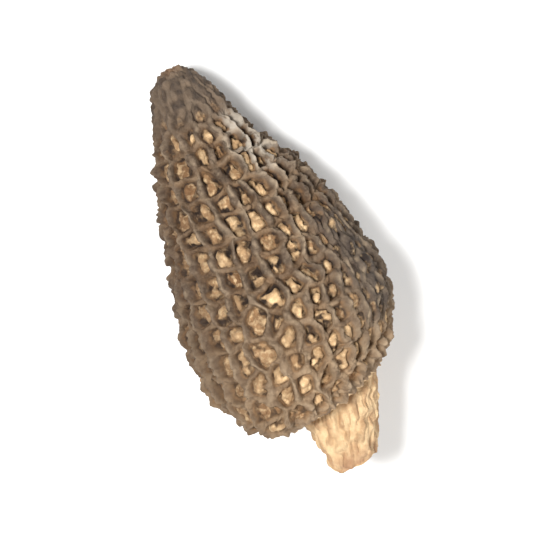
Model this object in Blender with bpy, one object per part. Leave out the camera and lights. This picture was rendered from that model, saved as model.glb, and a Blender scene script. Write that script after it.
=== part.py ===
"""A dried black morel lying on its side: a pitted cap grown as one piece with its short, cut stem.

The fruit body is hollow. It is lofted through rings, from the tip of the cap to its margin, under the
margin to the stem, over the cut end and back up the inside. A net of ridges with pits between them is
then pressed into the cap by a formula, and the side that it lies on is flattened. The fine form is
thinned out last, so that the triangles left are spent on the ridges.

Metres, +Z up. The morel lies on z = 0 with its tip towards +Y, and its box is centred on the origin.
"""

import math
import random

import bpy
import numpy as np
from mathutils import Vector, noise

MM = 0.001
SEED = 7
NOISE_STEPS = (3.7, 11.3, 5.9)
WAVE_ALONG, WAVE_ROUND, DENTS, FOLDS, RAGGED = range(1, 6)

# Rings of the fruit body, in millimetres: distance from the tip along the axis, radius, sideways
# shift of the centre, and slant. A slant of 1 is that of the cap's margin.
CAP_RINGS = [
    (0.00, 0.00, -0.15, 0.0),
    (0.40, 1.30, -0.15, 0.0),
    (1.30, 2.20, -0.15, 0.0),
    (2.90, 3.05, -0.15, 0.0),
    (7.20, 4.90, -0.20, 0.0),
    (13.0, 7.40, 0.35, 0.0),
    (18.8, 8.95, 0.90, 0.1),
    (23.1, 9.95, 0.85, 0.2),
    (26.5, 9.95, 0.75, 0.4),
    (29.4, 9.40, 0.55, 0.7),
    (31.7, 8.45, 0.65, 1.0),
    (32.9, 7.00, 0.80, 1.0),
]
STEM_RINGS = [
    (33.1, 6.00, 1.30, 1.0),
    (32.4, 5.05, 1.90, 1.0),
    (32.4, 4.40, 2.30, 1.0),
    (33.8, 4.05, 2.35, 0.7),
    (36.0, 3.40, 2.00, 0.35),
    (38.0, 2.75, 1.60, 0.1),
    (39.4, 2.35, 1.30, 0.0),
    (40.0, 2.00, 1.20, 0.0),
    (39.6, 1.60, 1.20, 0.0),
]
HOLLOW_RINGS = [
    (37.8, 1.50, 1.60, 0.0),
    (34.4, 2.05, 2.25, 0.5),
    (31.3, 3.20, 2.10, 0.8),
    (29.1, 5.20, 1.20, 0.7),
    (26.5, 6.90, 0.80, 0.4),
    (22.0, 6.80, 0.85, 0.2),
    (13.0, 4.70, 0.35, 0.0),
    (7.20, 2.50, -0.20, 0.0),
    (4.10, 1.30, -0.15, 0.0),
    (3.30, 0.00, -0.15, 0.0),
]

# How the form is slanted, leant, flattened and pressed.
SLANT_SIDEWAYS = -0.20
SLANT_UPWARDS = 0.08
FLATNESS = 0.92
LEAN = math.radians(6.5)
PRESSED = 1.15
PRESS_SOFTNESS = 0.4
FLATTENED = 0.3
WALL_ABOVE_FLOOR = 2.4

# Bulges of the cap's outline: distance from the tip, turn, reach along, reach round, height.
BULGES = [
    (30.7, math.radians(8), 2.0, math.radians(26), 0.45),
    (32.3, math.radians(192), 2.4, math.radians(44), -1.7),
]
STEM_BLEND = 2.0
EVEN_WITHIN = 2.0
DENT_SIZE = 8.0
DENT_DEPTH = 0.45
FOLD_SIZE = 2.4
FOLD_DEPTH = 0.42
FOLD_STRETCH = 0.3
RAGGED_SIZE = 1.5
RAGGED_END = 0.9
RAGGED_REACH = 2.5

# The net of ridges and pits. Sizes are measured along the surface.
FIRST_ROW = 1.7
PIT_LENGTH_AT_TIP = 1.8
PIT_LENGTH = 2.3
PIT_WIDTH_AT_TIP = 1.6
PIT_WIDTH = 2.1
FULL_SIZE_FROM = 12.0
COLUMN_STEP = 3
JITTER = 0.2
ROW_TURN = 0.14
SQUEEZE = 0.3
PIT_DEPTH = 1.2
SHALLOWEST = 0.8
DEEPEST = 1.1
CREST_HALF_WIDTH = 0.17
PIT_WALL = 0.38
CORNER = 0.12
CROSS_RIDGE_DROP = 0.55
WAVE_SIZE = 2.3
WAVE = 0.42
FAINT = 0.12
FAINT_UNTIL = 3.0
DEEP_FROM = 9.0
MARGIN_INSIDE = 1.1
MARGIN_OUTSIDE = 0.5

# Fineness of the form, before and after it is thinned out.
OUTLINE_POINTS = 4000
RING_STEP = 0.24
COLUMNS = 220
TRIANGLES = 11800
NEAREST_PITS = 6
ROUNDED_DIGITS = 5
RESTING = 0.03
TINY = 1e-9

# Colour, as linear RGB, and roughness of each material, in the order of the slots.
RIDGE, PIT, FLESH = 0, 1, 2
MATERIALS = [
    ("morel_ridge", (0.125, 0.095, 0.068), 0.85),
    ("morel_pit", (0.330, 0.205, 0.095), 0.75),
    ("morel_flesh", (0.640, 0.440, 0.240), 0.80),
]


def smoothstep(low, high, value):
    t = np.clip((value - low) / (high - low), 0.0, 1.0)
    return t * t * (3.0 - 2.0 * t)


def noise_at(points, size, channel):
    """Smooth noise from -1 to 1 at each point, with features of the given size."""
    shift = Vector((SEED, channel, channel)) * Vector(NOISE_STEPS) + Vector((0.0, 0.0, SEED))
    flat = (points / size).reshape(-1, 3)
    values = [noise.noise(Vector(point) + shift) for point in flat]
    return np.array(values).reshape(points.shape[:-1])


def lengths_along(curve):
    """The distance travelled to each point of a curve in the plane of its first two columns."""
    steps = np.hypot(*np.diff(curve[:, :2], axis=0).T)
    return np.concatenate([[0.0], np.cumsum(steps)])


def smooth_outline(rings):
    """The rings joined by a smooth curve, read one RING_STEP apart, with the distance travelled."""
    rings = np.array(rings)
    knots = lengths_along(rings)
    slopes = np.gradient(rings, knots, axis=0)
    slopes[0] = (0.0, 1.0, 0.0, 0.0)
    slopes[-1] = (0.0, -1.0, 0.0, 0.0)
    fine = np.linspace(0.0, knots[-1], OUTLINE_POINTS)
    left = np.clip(np.searchsorted(knots, fine, side="right") - 1, 0, len(knots) - 2)
    span = (knots[left + 1] - knots[left])[:, None]
    t = (fine - knots[left])[:, None] / span
    curve = (
        (2 * t**3 - 3 * t**2 + 1) * rings[left]
        + (t**3 - 2 * t**2 + t) * span * slopes[left]
        + (3 * t**2 - 2 * t**3) * rings[left + 1]
        + (t**3 - t**2) * span * slopes[left + 1]
    )
    travelled = lengths_along(curve)
    even = np.linspace(0.0, travelled[-1], round(travelled[-1] / RING_STEP) + 1)
    rows = np.stack([np.interp(even, travelled, column) for column in curve.T], axis=1)
    return even, rows


def margin_along(travelled, rows):
    """The distance travelled to the margin of the cap."""
    away = np.hypot(*(rows[:, :2] - CAP_RINGS[-1][:2]).T)
    return travelled[int(np.argmin(away))]


def cut_end(rows):
    """The ring at the cut end of the stem, where the outside turns into the inside."""
    return int(np.argmax(rows[:, 0]))


def sphere_angles(travelled, rows):
    """The polar angle of each ring on a unit sphere, chosen so that small shapes keep their form."""
    radius = np.maximum(rows[:, 1], RING_STEP / 2)
    rate = (1.0 / radius[1:] + 1.0 / radius[:-1]) / 2
    rise = np.concatenate([[0.0], np.cumsum(rate * np.diff(travelled))])
    widest = int(np.argmax(rows[:, 1]))
    return 2.0 * np.arctan(np.exp(rise - rise[widest]))


def on_sphere(angle, turn):
    return np.stack([np.sin(angle) * np.cos(turn), np.sin(angle) * np.sin(turn), np.cos(angle)], axis=-1)


def pit_centres(travelled, rows, angles, margin):
    """The centre and depth of each pit, in rows from the tip to just past the margin."""
    dice = random.Random(SEED)
    centres = []
    depths = []
    row = FIRST_ROW
    row_turn = 0.0
    while row < margin + PIT_LENGTH:
        grown = min(row / FULL_SIZE_FROM, 1.0)
        length = PIT_LENGTH_AT_TIP + (PIT_LENGTH - PIT_LENGTH_AT_TIP) * grown
        width = PIT_WIDTH_AT_TIP + (PIT_WIDTH - PIT_WIDTH_AT_TIP) * grown
        girth = 2 * math.pi * np.interp(row, travelled, rows[:, 1])
        count = COLUMN_STEP * max(1, round(girth / width / COLUMN_STEP))
        row_turn += dice.uniform(-ROW_TURN, ROW_TURN) * 2 * math.pi / count
        for place in range(count):
            turn = row_turn + 2 * math.pi * (place + dice.uniform(-JITTER, JITTER)) / count
            turn -= SQUEEZE * math.sin(turn)
            reached = row + length * dice.uniform(-JITTER, JITTER)
            centres.append(on_sphere(np.interp(reached, travelled, angles), turn))
            depths.append(PIT_DEPTH * dice.uniform(SHALLOWEST, DEEPEST))
        row += length
    return np.array(centres), np.array(depths)


def ring_relief(points, around, scale, centres, depths):
    """How deep each point of one ring lies below the crests of the ridges.

    A ridge stands on every border between two pits. Those that run across the cap are lower.
    """
    nearest = np.argsort(-(points @ centres.T), axis=1)[:, :NEAREST_PITS]
    apart = centres[nearest[:, :1]] - centres[nearest[:, 1:]]
    apart /= np.linalg.norm(apart, axis=2, keepdims=True)
    gaps = np.einsum("pk,pnk->pn", points, apart) * scale[:, None]
    shares = np.exp(-gaps / CORNER)
    total = shares.sum(axis=1)
    border = np.maximum(-CORNER * np.log(total), 0.0)
    crosswise = 1.0 - np.einsum("pk,pnk->pn", around, apart) ** 2
    drop = CROSS_RIDGE_DROP * (shares * crosswise).sum(axis=1) / total
    sunk = smoothstep(CREST_HALF_WIDTH, CREST_HALF_WIDTH + PIT_WALL, border)
    return drop * (1.0 - sunk) + depths[nearest[:, 0]] * sunk


def cap_relief(travelled, rows, form, margin):
    """How deep the surface lies below the crests, for each point of each ring."""
    angles = sphere_angles(travelled, rows)
    centres, depths = pit_centres(travelled, rows, angles, margin)
    turns = np.arange(COLUMNS) * 2 * math.pi / COLUMNS
    wave_along = WAVE * noise_at(form, WAVE_SIZE, WAVE_ALONG)
    wave_round = WAVE * noise_at(form, WAVE_SIZE, WAVE_ROUND)
    relief = np.zeros(form.shape[:2])
    for ring in range(1, int(np.searchsorted(travelled, margin + MARGIN_OUTSIDE))):
        angle = np.interp(travelled[ring] + wave_along[ring], travelled, angles)
        turn = turns + wave_round[ring] / rows[ring, 1]
        around = np.stack([-np.sin(turn), np.cos(turn), np.zeros(COLUMNS)], axis=1)
        scale = rows[ring, 1] / np.sin(angle)
        relief[ring] = ring_relief(on_sphere(angle, turn), around, scale, centres, depths)
    strength = FAINT + (1.0 - FAINT) * smoothstep(FAINT_UNTIL, DEEP_FROM, travelled)
    strength *= 1.0 - smoothstep(margin - MARGIN_INSIDE, margin + MARGIN_OUTSIDE, travelled)
    return relief * strength[:, None]


def uneven_radius(travelled, rows, margin):
    """The radius at each point: round rings with the cap's bulges and dents and the stem's folds."""
    turns = np.arange(COLUMNS) * 2 * math.pi / COLUMNS
    along = np.repeat(rows[:, :1], COLUMNS, axis=1)
    radius = np.repeat(rows[:, 1:2], COLUMNS, axis=1)
    turned = np.stack([radius * np.cos(turns), along, radius * np.sin(turns)], axis=-1)
    stem = smoothstep(margin, margin + STEM_BLEND, travelled)[:, None]
    outside = (np.arange(len(rows)) <= cut_end(rows))[:, None]
    uneven = (1.0 - stem) * DENT_DEPTH * noise_at(turned, DENT_SIZE, DENTS)
    uneven += stem * outside * FOLD_DEPTH * noise_at(turned * (1.0, FOLD_STRETCH, 1.0), FOLD_SIZE, FOLDS)
    for place, turn, reach_along, reach_round, height in BULGES:
        beside = (turns - turn + math.pi) % (2 * math.pi) - math.pi
        reach = ((along - place) / reach_along) ** 2 + (beside / reach_round) ** 2
        uneven += outside * (1.0 - stem) * height * np.exp(-reach)
    return radius + uneven * np.minimum(radius / EVEN_WITHIN, 1.0)


def resting_form(travelled, rows, margin):
    """The form without its pits, in millimetres: its rings placed, slanted, leant and pressed flat."""
    turns = np.arange(COLUMNS) * 2 * math.pi / COLUMNS
    radius = uneven_radius(travelled, rows, margin)
    x = rows[:, 2:3] + radius * np.cos(turns)
    z = radius * np.sin(turns) * FLATNESS
    end = np.stack([x, 0 * x, z], axis=-1)
    ragged = smoothstep(rows[:, 0].max() - RAGGED_REACH, rows[:, 0].max(), rows[:, :1])
    along = rows[:, :1] + rows[:, 3:4] * (SLANT_SIDEWAYS * x + SLANT_UPWARDS * z)
    along += ragged * RAGGED_END * noise_at(end, RAGGED_SIZE, RAGGED)
    y = -along * math.cos(LEAN) - z * math.sin(LEAN)
    z = z * math.cos(LEAN) + along * math.sin(LEAN)
    z -= z.min() + PRESSED
    inside = np.arange(len(rows)) > cut_end(rows)
    floor = np.where(inside, WALL_ABOVE_FLOOR, 0.0)[:, None]
    z = floor + PRESS_SOFTNESS * np.logaddexp(0.0, (z - floor) / PRESS_SOFTNESS)
    return np.stack([x, y, z - FLATTENED], axis=-1)


def normals_of(grid):
    """Outward unit normals of a grid of rings."""
    around = np.roll(grid, -1, axis=1) - np.roll(grid, 1, axis=1)
    normal = np.cross(around, np.gradient(grid, axis=0))
    length = np.linalg.norm(normal, axis=2, keepdims=True)
    return normal / np.maximum(length, TINY)


def face_material(relief, travelled, margin, ring):
    """The material of each face of one row: ridge, pit or flesh."""
    if travelled[ring] > margin + MARGIN_OUTSIDE:
        return [FLESH] * COLUMNS
    return [PIT if depth > PIT_DEPTH / 2 else RIDGE for depth in relief[ring]]


def loft(grid):
    """The points and faces of a closed form, from rings of which the first and last are one point."""
    rings = grid.shape[0]
    points = np.concatenate([grid[:1, 0], grid[1:-1].reshape(-1, 3), grid[-1:, 0]])
    column = np.arange(COLUMNS)
    after = np.roll(column, -1)
    faces = []
    for ring in range(rings - 1):
        upper = 1 + (ring - 1) * COLUMNS
        lower = upper + COLUMNS
        if ring == 0:
            row = [0 * column, lower + after, lower + column]
        elif ring == rings - 2:
            row = [upper + column, upper + after, 0 * column + len(points) - 1]
        else:
            row = [upper + column, upper + after, lower + after, lower + column]
        faces.extend(np.stack(row, axis=1).tolist())
    return points * MM, faces


def make_material(name, colour, roughness):
    material = bpy.data.materials.new(name)
    material.use_nodes = True
    shader = material.node_tree.nodes["Principled BSDF"]
    shader.inputs["Base Color"].default_value = (*colour, 1.0)
    shader.inputs["Roughness"].default_value = roughness
    return material


def make_fine_mesh():
    """The whole morel as one fine, closed mesh."""
    travelled, rows = smooth_outline(CAP_RINGS + STEM_RINGS + HOLLOW_RINGS)
    margin = margin_along(travelled, rows)
    form = resting_form(travelled, rows, margin)
    relief = cap_relief(travelled, rows, form, margin)
    grid = form - normals_of(form) * relief[..., None]
    grid[..., 2] = np.maximum(grid[..., 2], 0.0)
    points, faces = loft(grid.round(ROUNDED_DIGITS))
    mesh = bpy.data.meshes.new("morel_fine")
    mesh.from_pydata(points.tolist(), [], faces)
    slots = [face_material(relief, travelled, margin, ring) for ring in range(len(rows) - 1)]
    mesh.polygons.foreach_set("material_index", np.ravel(slots))
    return mesh


def thinned_out(mesh, collection):
    """The same form with its triangles spent where it bends most."""
    fine = bpy.data.objects.new("morel_fine", mesh)
    collection.objects.link(fine)
    decimate = fine.modifiers.new("thin out", "DECIMATE")
    decimate.ratio = TRIANGLES / (2 * len(mesh.polygons))
    graph = bpy.context.evaluated_depsgraph_get()
    thin = bpy.data.meshes.new_from_object(fine.evaluated_get(graph))
    bpy.data.objects.remove(fine)
    bpy.data.meshes.remove(mesh)
    return thin


def settle(mesh):
    """Flattens what lies on z = 0, and centres the mesh on the origin."""
    points = np.empty(3 * len(mesh.vertices))
    mesh.vertices.foreach_get("co", points)
    points = points.reshape(-1, 3)
    points[points[:, 2] < RESTING * MM, 2] = 0.0
    middle = (points.min(axis=0) + points.max(axis=0)) / 2
    points[:, :2] -= middle[:2]
    mesh.vertices.foreach_set("co", points.ravel())
    mesh.update()


def build_morel():
    collection = bpy.data.collections.new("black_morel")
    bpy.context.scene.collection.children.link(collection)
    mesh = thinned_out(make_fine_mesh(), collection)
    settle(mesh)
    mesh.name = "morel"
    for name, colour, roughness in MATERIALS:
        mesh.materials.append(make_material(name, colour, roughness))
    mesh.shade_smooth()
    morel = bpy.data.objects.new("morel", mesh)
    collection.objects.link(morel)


for thing in list(bpy.data.objects):
    bpy.data.objects.remove(thing)
build_morel()
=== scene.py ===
"""The look of a dried black morel that lies on its side.

The skin is one fine mesh. It follows the same rings and the same net of pits as the solid, and adds the
crumpled ridges, ribbed pit floors, wrinkles and torn stem end that a dried morel has. Millimetres are used
for the shape, and the mesh is made in metres.
"""

import math
import random
from types import SimpleNamespace

import bpy
import numpy as np
from mathutils import Matrix, Vector, noise


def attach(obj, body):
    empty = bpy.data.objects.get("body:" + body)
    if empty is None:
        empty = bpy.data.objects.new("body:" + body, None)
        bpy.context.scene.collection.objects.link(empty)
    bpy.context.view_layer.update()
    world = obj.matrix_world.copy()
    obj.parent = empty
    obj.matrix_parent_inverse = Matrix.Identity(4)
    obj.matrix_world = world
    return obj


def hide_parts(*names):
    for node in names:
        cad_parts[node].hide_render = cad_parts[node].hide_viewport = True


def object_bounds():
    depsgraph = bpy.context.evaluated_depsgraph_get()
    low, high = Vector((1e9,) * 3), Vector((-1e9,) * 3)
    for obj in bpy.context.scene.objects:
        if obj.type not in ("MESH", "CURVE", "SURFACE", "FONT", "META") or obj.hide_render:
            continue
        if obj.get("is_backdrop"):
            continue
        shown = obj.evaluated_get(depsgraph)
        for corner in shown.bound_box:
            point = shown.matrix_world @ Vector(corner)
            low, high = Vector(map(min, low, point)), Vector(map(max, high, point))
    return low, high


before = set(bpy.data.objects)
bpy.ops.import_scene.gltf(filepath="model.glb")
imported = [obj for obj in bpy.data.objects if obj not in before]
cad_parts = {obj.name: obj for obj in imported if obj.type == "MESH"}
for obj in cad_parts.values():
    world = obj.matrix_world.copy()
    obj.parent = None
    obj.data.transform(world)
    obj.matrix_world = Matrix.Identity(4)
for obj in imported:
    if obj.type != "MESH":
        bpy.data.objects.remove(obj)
CAD_LOW, CAD_HIGH = (tuple(corner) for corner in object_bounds())

MM = 0.001
TINY = 1e-6
SEED = 7
NOISE_STEPS = (3.7, 11.3, 5.9)
RIB_STEP_X, RIB_STEP_Z = 13.7, 4.1
WAVE_ALONG, WAVE_ROUND, DENTS, FOLDS, RAGGED = range(1, 6)
BROADS, MIDDLES, FINES, STREAKS = range(6, 9), range(9, 12), range(12, 15), range(15, 18)
RIBS = 18

# Rings of the fruit body, in millimetres: distance from the tip along the axis, radius, sideways
# shift of the centre, and slant. A slant of 1 is that of the cap's margin.
CAP_RINGS = [
    (0.00, 0.00, -0.15, 0.0),
    (0.40, 1.30, -0.15, 0.0),
    (1.30, 2.20, -0.15, 0.0),
    (2.90, 3.05, -0.15, 0.0),
    (7.20, 4.90, -0.20, 0.0),
    (13.0, 7.40, 0.35, 0.0),
    (18.8, 8.95, 0.90, 0.1),
    (23.1, 9.95, 0.85, 0.2),
    (26.5, 9.95, 0.75, 0.4),
    (29.4, 9.40, 0.55, 0.7),
    (31.7, 8.45, 0.65, 1.0),
    (32.9, 7.00, 0.80, 1.0),
]
STEM_RINGS = [
    (33.1, 6.00, 1.30, 1.0),
    (32.4, 5.05, 1.90, 1.0),
    (32.4, 4.40, 2.30, 1.0),
    (33.8, 4.05, 2.35, 0.7),
    (36.0, 3.40, 2.00, 0.35),
    (38.0, 2.75, 1.60, 0.1),
    (39.4, 2.35, 1.30, 0.0),
    (40.0, 2.00, 1.20, 0.0),
    (39.6, 1.60, 1.20, 0.0),
]
HOLLOW_RINGS = [
    (37.8, 1.50, 1.60, 0.0),
    (34.4, 2.05, 2.25, 0.5),
    (31.3, 3.20, 2.10, 0.8),
    (29.1, 5.20, 1.20, 0.7),
    (26.5, 6.90, 0.80, 0.4),
    (22.0, 6.80, 0.85, 0.2),
    (13.0, 4.70, 0.35, 0.0),
    (7.20, 2.50, -0.20, 0.0),
    (4.10, 1.30, -0.15, 0.0),
    (3.30, 0.00, -0.15, 0.0),
]

# How the form is slanted, leant, flattened and pressed.
SLANT_SIDEWAYS = -0.20
SLANT_UPWARDS = 0.08
FLATNESS = 0.92
LEAN = math.radians(6.5)
PRESSED = 1.15
PRESS_SOFTNESS = 0.4
FLATTENED = 0.3
WALL_ABOVE_FLOOR = 2.4

# Bulges of the cap's outline: distance from the tip, turn, reach along, reach round, height.
BULGES = [
    (30.7, math.radians(8), 2.0, math.radians(26), 0.45),
    (32.3, math.radians(192), 2.4, math.radians(44), -1.7),
]
STEM_BLEND = 2.0
EVEN_WITHIN = 2.0

# Noises on the form: their size, height and stretch.
DENT_SIZE = 8.0
DENT_DEPTH = 0.45
FOLD_SIZE = 2.4
FOLD_DEPTH = 0.42
FOLD_STRETCH = 0.3
RAGGED_SIZE = 1.5
RAGGED_END = 0.9
RAGGED_REACH = 2.5

# The net of ridges and pits. Sizes are in millimetres along the surface.
FIRST_ROW = 1.7
PIT_LENGTH_AT_TIP = 1.8
PIT_LENGTH = 2.3
PIT_WIDTH_AT_TIP = 1.6
PIT_WIDTH = 2.1
FULL_SIZE_FROM = 12.0
COLUMN_STEP = 3
JITTER = 0.2
ROW_TURN = 0.14
SQUEEZE = 0.3
PIT_DEPTH = 1.2
SHALLOWEST = 0.8
DEEPEST = 1.1
CREST_HALF_WIDTH = 0.17
CORNER = 0.12
CROSS_RIDGE_DROP = 0.55
WAVE_SIZE = 2.3
WAVE = 0.42
FAINT = 0.12
FAINT_UNTIL = 3.0
DEEP_FROM = 9.0
MARGIN_INSIDE = 1.1
MARGIN_OUTSIDE = 0.5
NET_PAST_MARGIN = 2.0

# The skin of the ridges and pits. Heights and widths are in millimetres, the rest are shares.
FLANK = 0.4
FLANK_UNEVEN = 0.7
CREST_UNEVEN = 1.0
CROSS_THINNER = 0.4
BEAD_FROM = 0.8
BEAD_EDGE = 0.24
BEAD_GAP = 0.42
BEAD_GAP_SHOWS = 0.02, 0.35
BEAD_HEIGHT = 0.36
BEAD_DOME = 0.24
BEAD_FULL = 1.0
LOWEST_BEAD = 0.1
FULL_PITS_FROM, FULL_PITS_TO = 0.05, 0.55
CREST_RAISED = 0.1
CREST_COLOURED = 0.16
CREST_FALLS = 0.5
CREST_NICKS = 0.25
NICKS_SHOW = 0.1, 0.5
CRUMPLED = 0.62
CRUMPLED_FINE = 0.32
CRUMPLE_MEAN = 0.2
BEAD_SMOOTHER = 0.4
RIBS_IN_PITS = 0.2
RIB_WIDTH = 0.12
RIB_BENDS = 0.25
SWAY = 0.6
SWAY_ALONG = 0.5

# Sizes of the detail noises, and how the streaks run and bend.
BROAD, MIDDLE, FINE, RIB, STREAK = 2.3, 0.95, 0.42, 1.1, 0.55
STREAK_STRETCH = 0.16
STREAK_BENDS = 0.35
STREAK_BENDS_ALONG = 0.3
STREAK_MIDDLE = 0.5

# The side of the cap that dried pressed and folded: turn, reach round, and where it starts and ends.
FOLDED_TURN = math.radians(27)
FOLDED_REACH = math.radians(26)
FOLDED_FROM, FOLDED_TO = 17.0, 34.0
FOLDED_EDGE = 4.0
FOLDED_SHALLOWER = 0.82
FOLDED_CREASES = 0.8
FOLDED_CREASE_MEAN = 0.25

# The side of the cap that is darker, in painted shade: turn, reach round, and how much darker its pits are.
SHADED_SIDE_TURN = math.radians(158)
SHADED_SIDE_REACH = math.radians(44)
DARKER = 0.7

# The patch of worn, greyish ridges: turn, reach round, distance from the tip and half-length.
PALE_TURN = math.radians(36)
PALE_REACH = math.radians(26)
PALE_AT = 10.0
PALE_LENGTH = 3.8

# Where the cap's skin starts to grow paler towards its margin, and where it is palest.
PALER_FROM, PALER_TO = 22.0, 33.0

# Wrinkles of the tip and the stem, and how far the cap's colour reaches in under its margin.
UNDER_MARGIN = 2.4
RIM_INSIDE, RIM_OUTSIDE = 0.3, 1.3
TIP_END = 8.5
TIP_CREASES = 0.42
SECOND_CREASES = 0.5
CREASE_MEAN = 0.3
APEX_END = 1.7
STEM_CREASES = 0.4
STEM_LUMPS = 0.42
STEM_GRAINS = 0.12
BROWN_END = 2.6

# Fineness of the skin.
OUTLINE_POINTS = 4000
RING_STEP = 0.11
COLUMNS = 600
TURNS = np.arange(COLUMNS) * 2 * math.pi / COLUMNS
HOLLOW_SKIP = 4
FINE_PAST_END = 16
NEAREST_PITS = 6

# The names of the numbers that are stored on the mesh for the material to read.
STORED = (
    "sunk", "bead", "crest", "across", "under", "outside", "folded", "tip", "pale", "ribs", "tone", "apex",
    "streak", "low", "cut", "dark",
)

# Noises of the material: size in millimetres, where they start and end to show, detail and roughness.
MARK_NOISES = {
    "blotch": (4.0, 0.35, 0.65, 3.0, 0.55),
    "patch": (0.9, 0.35, 0.65, 3.0, 0.55),
    "fleck": (0.5, 0.45, 0.62, 3.0, 0.55),
    "wear": (1.6, 0.42, 0.62, 3.0, 0.55),
    "spots": (1.3, 0.46, 0.56, 3.0, 0.55),
    "grain": (0.24, 0.3, 0.7, 4.0, 0.65),
}

# Colours, in the usual 0 to 255 values. Each pair is the colour where a noise is 0 and where it is 1.
RIDGE_COLOURS = (84, 69, 56), (112, 95, 78)
ACROSS_COLOURS = (128, 97, 64), (92, 66, 42)
LOW_COLOURS = (160, 135, 105), (124, 100, 75)
# The next pair is the pressed side's own grey-brown, darkened in part as painted shade.
FOLDED_AND_SHADED_COLOURS = (60, 50, 43), (84, 73, 63)
# The next pair is a painted highlight on the ridges' crests, then the greyish crests of the worn patch.
CREST_HIGHLIGHT_AND_WORN_COLOURS = (158, 138, 113), (180, 169, 153)
# The next pair is the pit walls' own brown, darkened towards near-black as painted shade in the pits.
FLANK_AND_SHADE_COLOURS = (50, 34, 21), (116, 85, 54)
TIP_COLOURS = (64, 53, 44), (101, 86, 71)
PIT_COLOURS = (128, 93, 60), (242, 205, 155)
STEM_COLOURS = (182, 150, 113), (206, 177, 137)
# The next pair is painted light: the lip just under the cap's margin, paler than the stem, against the
# shade that the margin casts.
LIGHTENED_LIP_COLOURS = (208, 174, 132), (232, 200, 158)
HOLLOW_COLOURS = (214, 180, 132), (190, 150, 104)
BLEACHED_COLOUR = (164, 154, 140)
# The next colour is painted shade: a near-black line at the foot of each pit's wall, where the wall meets
# the floor.
PIT_FOOT_SHADE_COLOUR = (32, 21, 14)
BROWNED_COLOUR = (150, 112, 84)
FLOOR_COLOUR = (240, 240, 239)

# Marks on those colours: the mark's own colour and its largest share.
PATCH_ON_RIDGE = (64, 47, 34), 0.65
FLECK_ON_RIDGE = (142, 124, 102), 0.3
GRAIN_ON_RIDGE = (54, 40, 29), 0.35
LOW_ON_FLANK = (154, 120, 84), 0.5
PATCH_ON_TIP = (118, 98, 78), 0.3
APEX_ON_TIP = (140, 104, 72), 0.6
FLECK_ON_PIT = (242, 212, 166), 0.6
GRAIN_ON_PIT = (140, 102, 66), 0.35
RIB_ON_PIT = (104, 74, 46), 0.5
# Painted shade over one side of the cap.
SHADED_SIDE_ON_CAP = (66, 50, 37), 0.4
GRAIN_ON_STEM = (158, 122, 86), 0.45
STREAK_ON_STEM = (218, 192, 150), 0.35
CREASE_ON_STEM = (140, 106, 74), 0.5
ACROSS_SHARE = 0.6
LOW_SHARE = 0.6

# How strongly some masks count, from 0 to 1. A pair is the least share, and how much a noise adds.
# The painted highlight on the crests and the wear of the pale patch: shares by a noise, by the patch, the
# least share, and how much less on ridges that run across.
CREST_HIGHLIGHT_BY_MOTTLE = 0.6
WORN_BY_PALE = 0.9
CREST_HIGHLIGHT_LEAST = 0.1
HIGHLIGHT_AND_WEAR_LESS_ACROSS = 0.65
BLEACHED = 0.05, 0.8
# The painted shade at the foot of the pit walls: its least share and how much a noise adds, then how much
# less of it shows near the margin.
FOOT_SHADE_SHARE = 0.7, 0.3
FOOT_SHADE_LESS_LOW = 0.25
TONE_LESS_IN_PALE = 0.6
GOLD_BY_SUNK = 0.45
GOLD_BY_BEAD = 0.5
GOLD_UNEVEN = 0.35
BROWNED = 0.2, 0.6
STEM_EDGE_UNEVEN = 0.3

# Where each mask starts to show and where it shows in full.
PALE_SHOWS = 0.2, 0.8
FLANK_SHOWS = 0.2, 0.8
# Where the painted shade at the foot of the pit walls shows, and how far the beads hide it.
FOOT_SHADE_SHOWS = 0.6, 1.0
BEAD_HIDES_FOOT_SHADE = 0.0, 0.5
STREAK_SHOWS = 0.3, 0.7
CREASE_HIDES = 0.15, 0.5
GOLD_SHOWS = 0.3, 1.0
LIP_SHOWS = 0.02, 0.15
STEM_SHOWS = 0.2, 0.55

# Shine and small relief. GRIT is a noise's size in millimetres, detail and roughness.
ROUGHNESS_BY_GRAIN, ROUGHNESS = 0.15, 0.72
SPECULAR = 0.35
GRIT = 0.09, 3.0, 0.6
GRAIN_HEIGHT = 0.6
BUMP_DEPTH = 0.07
BUMP_STRENGTH = 0.9
FLOOR_SIZE = 2.0
FLOOR_ROUGHNESS = 0.9

# Lights: place in metres, size and energy. They point at LIT_POINT.
KEY_LIGHT = (-0.12, 0.09, 0.39), 0.10, 2.6
FILL_LIGHT = (0.12, -0.27, 0.32), 0.24, 1.3
LIT_POINT = (0.0, 0.0, 0.008)
WORLD_LIGHT = 0.31

# The camera looks down on the morel from afar, turned as in the photo. FRAME_WIDTH is in metres.
PHOTO_LEAN = math.radians(23.4)
LENS = 400.0
SENSOR = 36.0
FRAME_WIDTH = 0.049
CLIP_END = 10.0


def turned_from(turns, turn):
    """How far each turn is from one turn, from minus a half circle to a half circle."""
    return (turns - turn + math.pi) % (2 * math.pi) - math.pi


def smoothstep(low, high, value):
    t = np.clip((value - low) / (high - low), 0.0, 1.0)
    return t * t * (3.0 - 2.0 * t)


def noise_at(points, size, channel):
    """Smooth noise from -1 to 1 at each point, with features of the given size."""
    shift = Vector((SEED, channel, channel)) * Vector(NOISE_STEPS) + Vector((0.0, 0.0, SEED))
    flat = (points / size).reshape(-1, 3)
    values = [noise.noise(Vector(point) + shift) for point in flat]
    return np.array(values).reshape(points.shape[:-1])


def noises_at(points, size, channels):
    """Independent noises at each point, one for each channel, in the last axis."""
    return np.stack([noise_at(points, size, channel) for channel in channels], axis=-1)


def lengths_along(curve):
    """The distance travelled to each point of a curve in the plane of its first two columns."""
    steps = np.hypot(*np.diff(curve[:, :2], axis=0).T)
    return np.concatenate([[0.0], np.cumsum(steps)])


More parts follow.
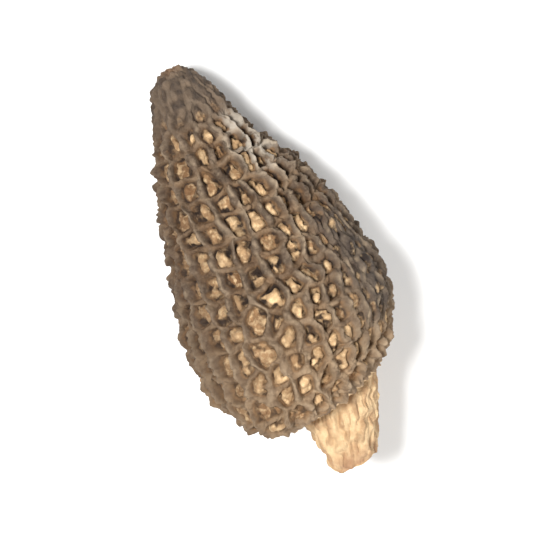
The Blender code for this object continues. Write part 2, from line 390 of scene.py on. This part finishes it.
def smooth_outline(rings):
    """The rings joined by a smooth curve, read one RING_STEP apart, with the distance travelled."""
    rings = np.array(rings)
    knots = lengths_along(rings)
    slopes = np.gradient(rings, knots, axis=0)
    slopes[0] = (0.0, 1.0, 0.0, 0.0)
    slopes[-1] = (0.0, -1.0, 0.0, 0.0)
    fine = np.linspace(0.0, knots[-1], OUTLINE_POINTS)
    left = np.clip(np.searchsorted(knots, fine, side="right") - 1, 0, len(knots) - 2)
    span = (knots[left + 1] - knots[left])[:, None]
    t = (fine - knots[left])[:, None] / span
    curve = (
        (2 * t**3 - 3 * t**2 + 1) * rings[left]
        + (t**3 - 2 * t**2 + t) * span * slopes[left]
        + (3 * t**2 - 2 * t**3) * rings[left + 1]
        + (t**3 - t**2) * span * slopes[left + 1]
    )
    travelled = lengths_along(curve)
    even = np.linspace(0.0, travelled[-1], round(travelled[-1] / RING_STEP) + 1)
    rows = np.stack([np.interp(even, travelled, column) for column in curve.T], axis=1)
    keep = np.arange(len(even)) <= cut_end(rows) + FINE_PAST_END
    keep |= np.arange(len(even)) % HOLLOW_SKIP == 0
    keep[-1] = True
    return even[keep], rows[keep]


def margin_along(travelled, rows):
    """The distance travelled to the margin of the cap."""
    away = np.hypot(*(rows[:, :2] - CAP_RINGS[-1][:2]).T)
    return travelled[int(np.argmin(away))]


def cut_end(rows):
    """The ring at the cut end of the stem, where the outside turns into the inside."""
    return int(np.argmax(rows[:, 0]))


def sphere_angles(travelled, rows):
    """The polar angle of each ring on a unit sphere, chosen so that small shapes keep their form."""
    radius = np.maximum(rows[:, 1], RING_STEP / 2)
    rate = (1.0 / radius[1:] + 1.0 / radius[:-1]) / 2
    rise = np.concatenate([[0.0], np.cumsum(rate * np.diff(travelled))])
    widest = int(np.argmax(rows[:, 1]))
    return 2.0 * np.arctan(np.exp(rise - rise[widest]))


def on_sphere(angle, turn):
    return np.stack([np.sin(angle) * np.cos(turn), np.sin(angle) * np.sin(turn), np.cos(angle)], axis=-1)


def pit_centres(travelled, rows, angles, margin):
    """The centre and depth of each pit, in rows from the tip to just past the margin."""
    dice = random.Random(SEED)
    centres = []
    depths = []
    row = FIRST_ROW
    row_turn = 0.0
    while row < margin + PIT_LENGTH:
        grown = min(row / FULL_SIZE_FROM, 1.0)
        length = PIT_LENGTH_AT_TIP + (PIT_LENGTH - PIT_LENGTH_AT_TIP) * grown
        width = PIT_WIDTH_AT_TIP + (PIT_WIDTH - PIT_WIDTH_AT_TIP) * grown
        girth = 2 * math.pi * np.interp(row, travelled, rows[:, 1])
        count = COLUMN_STEP * max(1, round(girth / width / COLUMN_STEP))
        row_turn += dice.uniform(-ROW_TURN, ROW_TURN) * 2 * math.pi / count
        for place in range(count):
            turn = row_turn + 2 * math.pi * (place + dice.uniform(-JITTER, JITTER)) / count
            turn -= SQUEEZE * math.sin(turn)
            reached = row + length * dice.uniform(-JITTER, JITTER)
            centres.append(on_sphere(np.interp(reached, travelled, angles), turn))
            depths.append(PIT_DEPTH * dice.uniform(SHALLOWEST, DEEPEST))
        row += length
    return np.array(centres), np.array(depths)


def ring_net(points, around, scale, centres):
    """The net on one ring: the distance to the nearest border, how far it runs across, and the pit."""
    nearest = np.argsort(-(points @ centres.T), axis=1)[:, :NEAREST_PITS]
    apart = centres[nearest[:, :1]] - centres[nearest[:, 1:]]
    apart /= np.linalg.norm(apart, axis=2, keepdims=True)
    gaps = np.einsum("pk,pnk->pn", points, apart) * scale[:, None]
    shares = np.exp(-gaps / CORNER)
    total = shares.sum(axis=1)
    border = np.maximum(-CORNER * np.log(total), 0.0)
    crosswise = 1.0 - np.einsum("pk,pnk->pn", around, apart) ** 2
    return border, (shares * crosswise).sum(axis=1) / total, nearest[:, 0]


def cap_net(travelled, rows, form, margin, centres, angles):
    """The net on each ring of the cap, as three grids."""
    last = int(np.searchsorted(travelled, margin + NET_PAST_MARGIN))
    wave_along = WAVE * noise_at(form[:last], WAVE_SIZE, WAVE_ALONG)
    wave_round = WAVE * noise_at(form[:last], WAVE_SIZE, WAVE_ROUND)
    border = np.zeros(form.shape[:2])
    crosswise = np.zeros(form.shape[:2])
    pit = np.zeros(form.shape[:2], int)
    for ring in range(1, last):
        angle = np.interp(travelled[ring] + wave_along[ring], travelled, angles)
        turn = TURNS + wave_round[ring] / rows[ring, 1]
        around = np.stack([-np.sin(turn), np.cos(turn), np.zeros(COLUMNS)], axis=1)
        scale = rows[ring, 1] / np.sin(angle)
        border[ring], crosswise[ring], pit[ring] = ring_net(on_sphere(angle, turn), around, scale, centres)
    return border, crosswise, pit


def uneven_radius(travelled, rows, margin):
    """The radius at each point: round rings with the cap's bulges and dents and the stem's folds."""
    along = np.repeat(rows[:, :1], COLUMNS, axis=1)
    radius = np.repeat(rows[:, 1:2], COLUMNS, axis=1)
    turned = np.stack([radius * np.cos(TURNS), along, radius * np.sin(TURNS)], axis=-1)
    stem = smoothstep(margin, margin + STEM_BLEND, travelled)[:, None]
    outside = (np.arange(len(rows)) <= cut_end(rows))[:, None]
    uneven = (1.0 - stem) * DENT_DEPTH * noise_at(turned, DENT_SIZE, DENTS)
    uneven += stem * outside * FOLD_DEPTH * noise_at(turned * (1.0, FOLD_STRETCH, 1.0), FOLD_SIZE, FOLDS)
    for place, turn, reach_along, reach_round, height in BULGES:
        reach = ((along - place) / reach_along) ** 2 + (turned_from(TURNS, turn) / reach_round) ** 2
        uneven += outside * (1.0 - stem) * height * np.exp(-reach)
    return radius + uneven * np.minimum(radius / EVEN_WITHIN, 1.0)


def resting_form(travelled, rows, margin):
    """The form without its pits, in millimetres: its rings placed, slanted, leant and pressed flat."""
    radius = uneven_radius(travelled, rows, margin)
    x = rows[:, 2:3] + radius * np.cos(TURNS)
    z = radius * np.sin(TURNS) * FLATNESS
    end = np.stack([x, 0 * x, z], axis=-1)
    ragged = smoothstep(rows[:, 0].max() - RAGGED_REACH, rows[:, 0].max(), rows[:, :1])
    along = rows[:, :1] + rows[:, 3:4] * (SLANT_SIDEWAYS * x + SLANT_UPWARDS * z)
    along += ragged * RAGGED_END * noise_at(end, RAGGED_SIZE, RAGGED)
    y = -along * math.cos(LEAN) - z * math.sin(LEAN)
    z = z * math.cos(LEAN) + along * math.sin(LEAN)
    z -= z.min() + PRESSED
    inside = np.arange(len(rows)) > cut_end(rows)
    floor = np.where(inside, WALL_ABOVE_FLOOR, 0.0)[:, None]
    z = floor + PRESS_SOFTNESS * np.logaddexp(0.0, (z - floor) / PRESS_SOFTNESS)
    return np.stack([x, y, z - FLATTENED], axis=-1)


def directions_of(grid):
    """Unit vectors at each point of a grid of rings: outward, round the ring and along the outline."""
    around = np.roll(grid, -1, axis=1) - np.roll(grid, 1, axis=1)
    along = np.gradient(grid, axis=0)
    ways = (np.cross(around, along), around, along)
    return [way / np.maximum(np.linalg.norm(way, axis=2, keepdims=True), TINY) for way in ways]


def loft(grid):
    """The points and faces of a closed form, from rings of which the first and last are one point."""
    rings = grid.shape[0]
    points = np.concatenate([grid[:1, 0], grid[1:-1].reshape(-1, 3), grid[-1:, 0]])
    column = np.arange(COLUMNS)
    after = np.roll(column, -1)
    faces = []
    for ring in range(rings - 1):
        upper = 1 + (ring - 1) * COLUMNS
        lower = upper + COLUMNS
        if ring == 0:
            row = [0 * column, lower + after, lower + column]
        elif ring == rings - 2:
            row = [upper + column, upper + after, 0 * column + len(points) - 1]
        else:
            row = [upper + column, upper + after, lower + after, lower + column]
        faces.extend(np.stack(row, axis=1).tolist())
    return points * MM, faces


def store(mesh, name, numbers, shape):
    """Keeps one number for each point of the mesh, which was made from a grid of this shape."""
    grid = np.broadcast_to(numbers, shape)
    values = np.concatenate([grid[:1, 0], grid[1:-1].ravel(), grid[-1:, 0]])
    attribute = mesh.attributes.new(name, "FLOAT", "POINT")
    attribute.data.foreach_set("value", values.astype(np.float32))


def ribs_at(points, size, width, channel):
    """Thin ribs on the borders of a small irregular net, from 0 to 1."""
    shift = Vector((channel * RIB_STEP_X, SEED, channel * RIB_STEP_Z))
    gaps = []
    for point in (points / size).reshape(-1, 3):
        near = noise.voronoi(Vector(point) + shift)[0]
        gaps.append(near[1] - near[0])
    gaps = np.array(gaps).reshape(points.shape[:-1]) * size / 2
    return np.exp(-((gaps / width) ** 2))


def detail_noises(form, travelled, rows, end):
    """The noises of each size on the outside of the form. The hollow stays smooth."""
    outer = slice(0, end + 1)
    noises = {name: np.zeros(form.shape) for name in ("broad", "middle", "fine", "streak")}
    noises["broad"][outer] = noises_at(form[outer], BROAD, BROADS)
    noises["middle"][outer] = noises_at(form[outer], MIDDLE, MIDDLES)
    noises["fine"][outer] = noises_at(form[outer], FINE, FINES)
    squeezed = STREAK_STRETCH * travelled[:, None] + 0 * TURNS
    unrolled = np.stack([rows[:, 1:2] * np.cos(TURNS), squeezed, rows[:, 1:2] * np.sin(TURNS)], axis=-1)
    bent = unrolled + STREAK_BENDS * noises["broad"] * (1.0, STREAK_BENDS_ALONG, 1.0)
    noises["streak"][outer] = noises_at(bent[outer], STREAK, STREAKS)
    noises["ribs"] = np.zeros(form.shape[:2])
    noises["ribs"][outer] = ribs_at(form[outer] + RIB_BENDS * noises["middle"][outer], RIB, RIB_WIDTH, RIBS)
    return noises


def folded_share(travelled):
    """How much each point belongs to the pressed side of the cap, from 0 to 1."""
    along = smoothstep(FOLDED_FROM, FOLDED_FROM + FOLDED_EDGE, travelled)
    along *= 1.0 - smoothstep(FOLDED_TO - FOLDED_EDGE, FOLDED_TO, travelled)
    return along[:, None] * np.exp(-((turned_from(TURNS, FOLDED_TURN) / FOLDED_REACH) ** 2))


def pale_share(travelled):
    """How much each point belongs to the patch of greyish, worn ridges near the tip, from 0 to 1."""
    beside = turned_from(TURNS, PALE_TURN) / PALE_REACH
    beyond = (travelled[:, None] - PALE_AT) / PALE_LENGTH
    return np.exp(-(beside**2 + beyond**2))


def shaded_side_share(turns):
    """How much each turn belongs to the side of the cap in painted shade, from 0 to 1."""
    return np.exp(-((turned_from(turns, SHADED_SIDE_TURN) / SHADED_SIDE_REACH) ** 2))


def pit_tones(centres):
    """How pale and full each pit is, from 0 to 1. Those on the side of the cap in painted shade are darker.
    """
    dice = random.Random(SEED + 1)
    tones = np.array([dice.random() for _ in centres])
    turns = np.arctan2(centres[:, 1], centres[:, 0])
    return tones * (1.0 - DARKER * shaded_side_share(turns))


def cap_skin(border, crosswise, depths, fullness, noises):
    """The depth below the crests, and how much each point is sunk and is on the bead of a pit's floor."""
    broad, middle = noises["broad"], noises["middle"]
    thinner = 1.0 - CROSS_THINNER * crosswise
    crest = CREST_HALF_WIDTH * thinner * (1.0 + CREST_UNEVEN * (broad[..., 0] + middle[..., 0]))
    flank = FLANK * thinner * (1.0 + FLANK_UNEVEN * (broad[..., 1] + middle[..., 2]))
    sunk = smoothstep(crest, crest + flank, border)
    start = crest + flank * BEAD_FROM + BEAD_GAP * smoothstep(*BEAD_GAP_SHOWS, middle[..., 0])
    bead = smoothstep(start, start + BEAD_EDGE, border)
    top = CROSS_RIDGE_DROP * crosswise * (1.0 + broad[..., 2])
    top += CREST_FALLS * np.abs(broad[..., 1]) + CREST_NICKS * smoothstep(*NICKS_SHOW, middle[..., 1])
    dome = BEAD_DOME * smoothstep(BEAD_FULL / 2, BEAD_FULL, border)
    stands = (BEAD_HEIGHT * bead + dome) * (LOWEST_BEAD + (1.0 - LOWEST_BEAD) * fullness)
    floor = depths - stands - RIBS_IN_PITS * noises["ribs"]
    relief = (top - CREST_RAISED) * (1.0 - sunk) + floor * sunk
    return relief, sunk, bead


def crumples(noises):
    """The small sharp creases all over the cap."""
    middle, fine = np.abs(noises["middle"][..., 2]), np.abs(noises["fine"][..., 1])
    return CRUMPLED * (middle - CRUMPLE_MEAN) + CRUMPLED_FINE * (fine - CRUMPLE_MEAN)


def tip_share(travelled):
    """How much each ring belongs to the wrinkled tip, which has no pits."""
    return (1.0 - smoothstep(TIP_END / 2, TIP_END, travelled))[:, None]


def wrinkles(travelled, margin, noises):
    """How far the tip and the stem stand out, in lengthwise creases, lumps and grains."""
    streak, middle, fine = noises["streak"], noises["middle"], noises["fine"]
    creases = np.abs(streak[..., 0]) + SECOND_CREASES * np.abs(streak[..., 1]) - CREASE_MEAN
    lumps = STEM_LUMPS * middle[..., 0] + STEM_GRAINS * fine[..., 0]
    on_tip = tip_share(travelled) * (TIP_CREASES * creases + STEM_GRAINS * fine[..., 1])
    stem = smoothstep(margin, margin + STEM_BLEND, travelled)[:, None]
    return on_tip + stem * (STEM_CREASES * creases + lumps)


def place_on_part(points):
    """Centres the skin on the box of the solid, in metres."""
    middle = (points.min(axis=0) + points.max(axis=0)) / 2
    points[:, 0] += (CAD_LOW[0] + CAD_HIGH[0]) / 2 - middle[0]
    points[:, 1] += (CAD_LOW[1] + CAD_HIGH[1]) / 2 - middle[1]
    return points


def skin_grid():
    """The points of the skin as a grid of rings, in millimetres, and the numbers its material reads."""
    travelled, rows = smooth_outline(CAP_RINGS + STEM_RINGS + HOLLOW_RINGS)
    margin = margin_along(travelled, rows)
    form = resting_form(travelled, rows, margin)
    outward, around, along = directions_of(form)
    angles = sphere_angles(travelled, rows)
    centres, depths = pit_centres(travelled, rows, angles, margin)
    border, crosswise, pit = cap_net(travelled, rows, form, margin, centres, angles)
    end = cut_end(rows)
    noises = detail_noises(form, travelled, rows, end)
    folded = folded_share(travelled)
    cap = (1.0 - smoothstep(margin - MARGIN_INSIDE, margin + MARGIN_OUTSIDE, travelled))[:, None]
    strength = cap * (FAINT + (1.0 - FAINT) * smoothstep(FAINT_UNTIL, DEEP_FROM, travelled))[:, None]
    tones = pit_tones(centres)
    fullness = smoothstep(FULL_PITS_FROM, FULL_PITS_TO, tones[pit])
    relief, sunk, bead = cap_skin(border, crosswise, depths[pit], fullness, noises)
    even = 1.0 - FOLDED_SHALLOWER * folded
    rim = (1.0 - smoothstep(margin + RIM_INSIDE, margin + RIM_OUTSIDE, travelled))[:, None]
    crumpled = rim * smoothstep(FAINT_UNTIL, DEEP_FROM, travelled)[:, None]
    crumpled = crumpled * even * (1.0 - BEAD_SMOOTHER * bead)
    relief = relief * strength * even - crumpled * crumples(noises)
    outside = (np.arange(len(rows)) < end)[:, None]
    rise = outside * wrinkles(travelled, margin, noises)
    rise += cap * folded * FOLDED_CREASES * (np.abs(noises["streak"][..., 2]) - FOLDED_CREASE_MEAN)
    grid = form + outward * (rise - relief)[..., None]
    sway = SWAY * strength * (1.0 - sunk)
    swayed = around * noises["broad"][..., 0:1] + SWAY_ALONG * along * noises["middle"][..., 0:1]
    grid += sway[..., None] * swayed
    grid[..., 2] = np.maximum(grid[..., 2], 0.0)
    numbers = {
        "sunk": sunk * strength,
        "bead": bead * strength * even,
        "crest": np.exp(-((border / CREST_COLOURED) ** 2)) * strength,
        "across": crosswise * strength,
        "under": smoothstep(margin, margin + UNDER_MARGIN, travelled)[:, None],
        "outside": outside,
        "folded": folded * cap,
        "tip": tip_share(travelled),
        "pale": pale_share(travelled),
        "ribs": noises["ribs"],
        "tone": tones[pit],
        "apex": (1.0 - smoothstep(0.0, APEX_END, travelled))[:, None],
        "streak": STREAK_MIDDLE + noises["streak"][..., 0],
        "low": smoothstep(PALER_FROM, PALER_TO, travelled)[:, None],
        "cut": smoothstep(travelled[end] - BROWN_END, travelled[end], travelled)[:, None],
        # The side of the cap in painted shade.
        "dark": shaded_side_share(TURNS),
    }
    return grid, numbers


def make_skin():
    grid, numbers = skin_grid()
    points, faces = loft(grid)
    mesh = bpy.data.meshes.new("morel_skin")
    mesh.from_pydata(place_on_part(points).tolist(), [], faces)
    for name in STORED:
        store(mesh, name, numbers[name], grid.shape[:2])
    mesh.shade_smooth()
    skin = bpy.data.objects.new("morel_skin", mesh)
    bpy.context.scene.collection.objects.link(skin)
    return skin


def srgb(colour):
    """A linear colour from the usual 0 to 255 values, by the standard's curve."""
    values = [channel / 255 for channel in colour]
    return (*[v / 12.92 if v <= 0.04045 else ((v + 0.055) / 1.055) ** 2.4 for v in values], 1.0)


class Nodes:
    """Short calls that add shader nodes to one material."""

    def __init__(self, material):
        self.tree = material.node_tree

    def add(self, kind, inputs=None, **settings):
        made = self.tree.nodes.new(kind)
        for name, value in settings.items():
            setattr(made, name, value)
        for name, value in (inputs or {}).items():
            self.plug(made.inputs[name], value)
        return made

    def plug(self, socket, value):
        """Gives an input another node's output, a colour of 0 to 255 values, or a number."""
        if isinstance(value, bpy.types.NodeSocket):
            self.tree.links.new(value, socket)
        elif isinstance(value, tuple):
            socket.default_value = srgb(value)
        else:
            socket.default_value = value

    def attribute(self, name):
        return self.add("ShaderNodeAttribute", attribute_name=name).outputs["Fac"]

    def noise(self, place, size_mm, detail, roughness):
        inputs = {"Vector": place, "Scale": 1.0 / size_mm, "Detail": detail, "Roughness": roughness}
        return self.add("ShaderNodeTexNoise", inputs).outputs["Fac"]

    def mix(self, fac, first, second):
        made = self.add("ShaderNodeMix", data_type="RGBA")
        self.plug(made.inputs[0], fac)
        self.plug(made.inputs[6], first)
        self.plug(made.inputs[7], second)
        return made.outputs[2]

    def marked(self, colour, mask, mark):
        """Lays a mark's own colour over a colour where the mask says, up to the mark's share."""
        over, share = mark
        return self.mix(self.times(mask, share), colour, over)

    def math(self, operation, *values):
        made = self.add("ShaderNodeMath", operation=operation)
        for socket, value in zip(made.inputs, values):
            self.plug(socket, value)
        return made.outputs[0]

    def times(self, first, second):
        return self.math("MULTIPLY", first, second)

    def plus(self, first, second):
        return self.math("ADD", first, second)

    def without(self, value):
        return self.math("SUBTRACT", 1.0, value)

    def from_least(self, value, least, more):
        """The least share where the value is 0, and that much more where it is 1."""
        return self.plus(least, self.times(value, more))

    def uneven(self, value, share):
        """The value's way up and down from its middle, times the share."""
        return self.times(self.math("SUBTRACT", value, 0.5), share)

    def ramp(self, value, low, high):
        """Maps low to 0 and high to 1, smoothly, and stays there beyond."""
        inputs = {"Value": value, "From Min": low, "From Max": high}
        made = self.add("ShaderNodeMapRange", inputs, interpolation_type="SMOOTHSTEP")
        return made.outputs["Result"]


def skin_masks(n):
    """What all the colours read: the place, the stored numbers and noises of several sizes."""
    coordinate = n.add("ShaderNodeTexCoord").outputs["Object"]
    scaled = n.add("ShaderNodeVectorMath", {0: coordinate, "Scale": 1.0 / MM}, operation="SCALE")
    masks = SimpleNamespace(place=scaled.outputs[0])
    for name in STORED:
        setattr(masks, name, n.attribute(name))
    for name, (size_mm, low, high, detail, roughness) in MARK_NOISES.items():
        setattr(masks, name, n.ramp(n.noise(masks.place, size_mm, detail, roughness), low, high))
    masks.streaked = n.ramp(masks.streak, *STREAK_SHOWS)
    return masks


def ridge_colour(n, m):
    """Brown ridges, paler where they run across or near the margin, with a patchy painted highlight along
    their crests, greyish where they are worn.
    """
    ridge = n.mix(m.blotch, *RIDGE_COLOURS)
    ridge = n.marked(ridge, m.patch, PATCH_ON_RIDGE)
    ridge = n.marked(ridge, m.fleck, FLECK_ON_RIDGE)
    ridge = n.marked(ridge, m.grain, GRAIN_ON_RIDGE)
    ridge = n.marked(ridge, m.across, (n.mix(m.patch, *ACROSS_COLOURS), ACROSS_SHARE))
    ridge = n.marked(ridge, m.low, (n.mix(m.patch, *LOW_COLOURS), LOW_SHARE))
    # The pressed side's ridges, darkened in part as painted shade.
    ridge = n.mix(m.folded, ridge, n.mix(m.patch, *FOLDED_AND_SHADED_COLOURS))
    # A painted highlight along the crests, patchy by a noise, and greyish wear in the pale patch.
    worn = n.math("MULTIPLY_ADD", m.wear, CREST_HIGHLIGHT_BY_MOTTLE, n.times(m.pale, WORN_BY_PALE))
    worn = n.times(m.crest, n.plus(worn, CREST_HIGHLIGHT_LEAST))
    worn = n.times(worn, n.without(n.times(m.across, HIGHLIGHT_AND_WEAR_LESS_ACROSS)))
    ridge = n.mix(worn, ridge, n.mix(m.pale, *CREST_HIGHLIGHT_AND_WORN_COLOURS))
    bleached = n.times(n.ramp(m.pale, *PALE_SHOWS), n.from_least(m.spots, *BLEACHED))
    return n.mix(bleached, ridge, BLEACHED_COLOUR)


def pit_colour(n, m):
    """Golden floors of the pits, each with its own tone, with pale flecks and brown ribs."""
    tone = n.times(m.tone, n.without(n.times(m.pale, TONE_LESS_IN_PALE)))
    pit = n.mix(tone, *PIT_COLOURS)
    pit = n.marked(pit, m.fleck, FLECK_ON_PIT)
    pit = n.marked(pit, m.grain, GRAIN_ON_PIT)
    return n.marked(pit, m.ribs, RIB_ON_PIT)


def tip_colour(n, m):
    tip = n.mix(m.streaked, *TIP_COLOURS)
    tip = n.marked(tip, m.patch, PATCH_ON_TIP)
    return n.marked(tip, m.apex, APEX_ON_TIP)


def cap_colour(n, m):
    """Ridges, flanks whose brown is darkened in part by painted shade and that end in a dark foot of
    painted shade, golden pits, and the wrinkled tip.
    """
    # The pit walls' brown, darkened in part as painted shade.
    flank = n.mix(m.patch, *FLANK_AND_SHADE_COLOURS)
    flank = n.marked(flank, m.low, LOW_ON_FLANK)
    sunk = n.times(n.ramp(m.sunk, *FLANK_SHOWS), n.without(m.folded))
    colour = n.mix(sunk, ridge_colour(n, m), flank)
    # Painted shade: near-black at the foot of each pit's wall, patchy, hidden by the beads and fainter near
    # the margin.
    foot = n.times(n.ramp(m.sunk, *FOOT_SHADE_SHOWS), n.without(n.ramp(m.bead, *BEAD_HIDES_FOOT_SHADE)))
    foot = n.times(foot, n.from_least(m.wear, *FOOT_SHADE_SHARE))
    foot = n.times(foot, n.without(n.times(m.low, FOOT_SHADE_LESS_LOW)))
    colour = n.mix(foot, colour, PIT_FOOT_SHADE_COLOUR)
    colour = n.mix(m.tip, colour, tip_colour(n, m))
    golden = n.plus(n.times(m.sunk, GOLD_BY_SUNK), n.times(m.bead, GOLD_BY_BEAD))
    golden = n.plus(golden, n.uneven(m.patch, GOLD_UNEVEN))
    colour = n.mix(n.ramp(golden, *GOLD_SHOWS), colour, pit_colour(n, m))
    # Painted shade over one side of the cap.
    return n.marked(colour, m.dark, SHADED_SIDE_ON_CAP)


def stem_colour(n, m):
    """The pale stem, brown in its creases and at its cut end."""
    stem = n.mix(m.patch, *STEM_COLOURS)
    stem = n.marked(stem, m.grain, GRAIN_ON_STEM)
    stem = n.marked(stem, m.streaked, STREAK_ON_STEM)
    stem = n.marked(stem, n.without(n.ramp(m.streak, *CREASE_HIDES)), CREASE_ON_STEM)
    return n.mix(n.times(m.cut, n.from_least(m.wear, *BROWNED)), stem, BROWNED_COLOUR)


def skin_colour(n, m):
    """The cap, then the pale lip of its margin, painted paler than the stem as painted light against the
    margin's shade, then the stem, and the hollow inside.
    """
    # Painted light on the lip under the margin, paler than the stem.
    colour = n.mix(n.ramp(m.under, *LIP_SHOWS), cap_colour(n, m), n.mix(m.patch, *LIGHTENED_LIP_COLOURS))
    edge = n.plus(m.under, n.uneven(m.patch, STEM_EDGE_UNEVEN))
    colour = n.mix(n.ramp(edge, *STEM_SHOWS), colour, stem_colour(n, m))
    return n.mix(m.outside, n.mix(m.patch, *HOLLOW_COLOURS), colour)


def skin_material():
    material = bpy.data.materials.new("morel_skin")
    material.use_nodes = True
    shader = material.node_tree.nodes["Principled BSDF"]
    n = Nodes(material)
    m = skin_masks(n)
    n.plug(shader.inputs["Base Color"], skin_colour(n, m))
    n.plug(shader.inputs["Roughness"], n.math("MULTIPLY_ADD", m.grain, ROUGHNESS_BY_GRAIN, ROUGHNESS))
    shader.inputs["Specular IOR Level"].default_value = SPECULAR
    height = n.plus(n.times(m.grain, GRAIN_HEIGHT), n.noise(m.place, *GRIT))
    relief = {"Height": height, "Distance": BUMP_DEPTH * MM, "Strength": BUMP_STRENGTH}
    n.plug(shader.inputs["Normal"], n.add("ShaderNodeBump", relief).outputs["Normal"])
    return material


def make_floor():
    bpy.ops.mesh.primitive_plane_add(size=FLOOR_SIZE, location=(0.0, 0.0, 0.0))
    floor = bpy.context.object
    floor.name = "floor"
    material = bpy.data.materials.new("floor")
    material.use_nodes = True
    shader = material.node_tree.nodes["Principled BSDF"]
    shader.inputs["Base Color"].default_value = srgb(FLOOR_COLOUR)
    shader.inputs["Roughness"].default_value = FLOOR_ROUGHNESS
    floor.data.materials.append(material)
    floor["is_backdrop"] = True


def add_light(name, place, size, energy):
    """A square soft light that points at the morel."""
    light = bpy.data.lights.new(name, "AREA")
    light.size = size
    light.energy = energy
    lamp = bpy.data.objects.new(name, light)
    lamp.location = place
    lamp.rotation_euler = (Vector(LIT_POINT) - Vector(place)).to_track_quat("-Z", "Y").to_euler()
    bpy.context.scene.collection.objects.link(lamp)


def make_studio():
    world = bpy.data.worlds.new("studio")
    world.use_nodes = True
    background = world.node_tree.nodes["Background"]
    background.inputs["Color"].default_value = (1.0, 1.0, 1.0, 1.0)
    background.inputs["Strength"].default_value = WORLD_LIGHT
    bpy.context.scene.world = world
    add_light("key", *KEY_LIGHT)
    add_light("fill", *FILL_LIGHT)
    bpy.context.scene.view_settings.view_transform = "Standard"


def make_camera():
    data = bpy.data.cameras.new("camera")
    data.lens = LENS
    data.sensor_width = SENSOR
    data.clip_end = CLIP_END
    camera = bpy.data.objects.new("camera", data)
    turn = Matrix.Rotation(-LEAN, 4, "X") @ Matrix.Rotation(-PHOTO_LEAN, 4, "Z")
    target = Vector((0.0, 0.0, (CAD_LOW[2] + CAD_HIGH[2]) / 2))
    distance = FRAME_WIDTH * LENS / SENSOR
    camera.matrix_world = Matrix.Translation(target) @ turn @ Matrix.Translation((0.0, 0.0, distance))
    bpy.context.scene.collection.objects.link(camera)
    bpy.context.scene.camera = camera


make_camera()
make_floor()
make_studio()
morel_skin = make_skin()
morel_skin.data.materials.append(skin_material())
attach(morel_skin, "root")
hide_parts("morel")
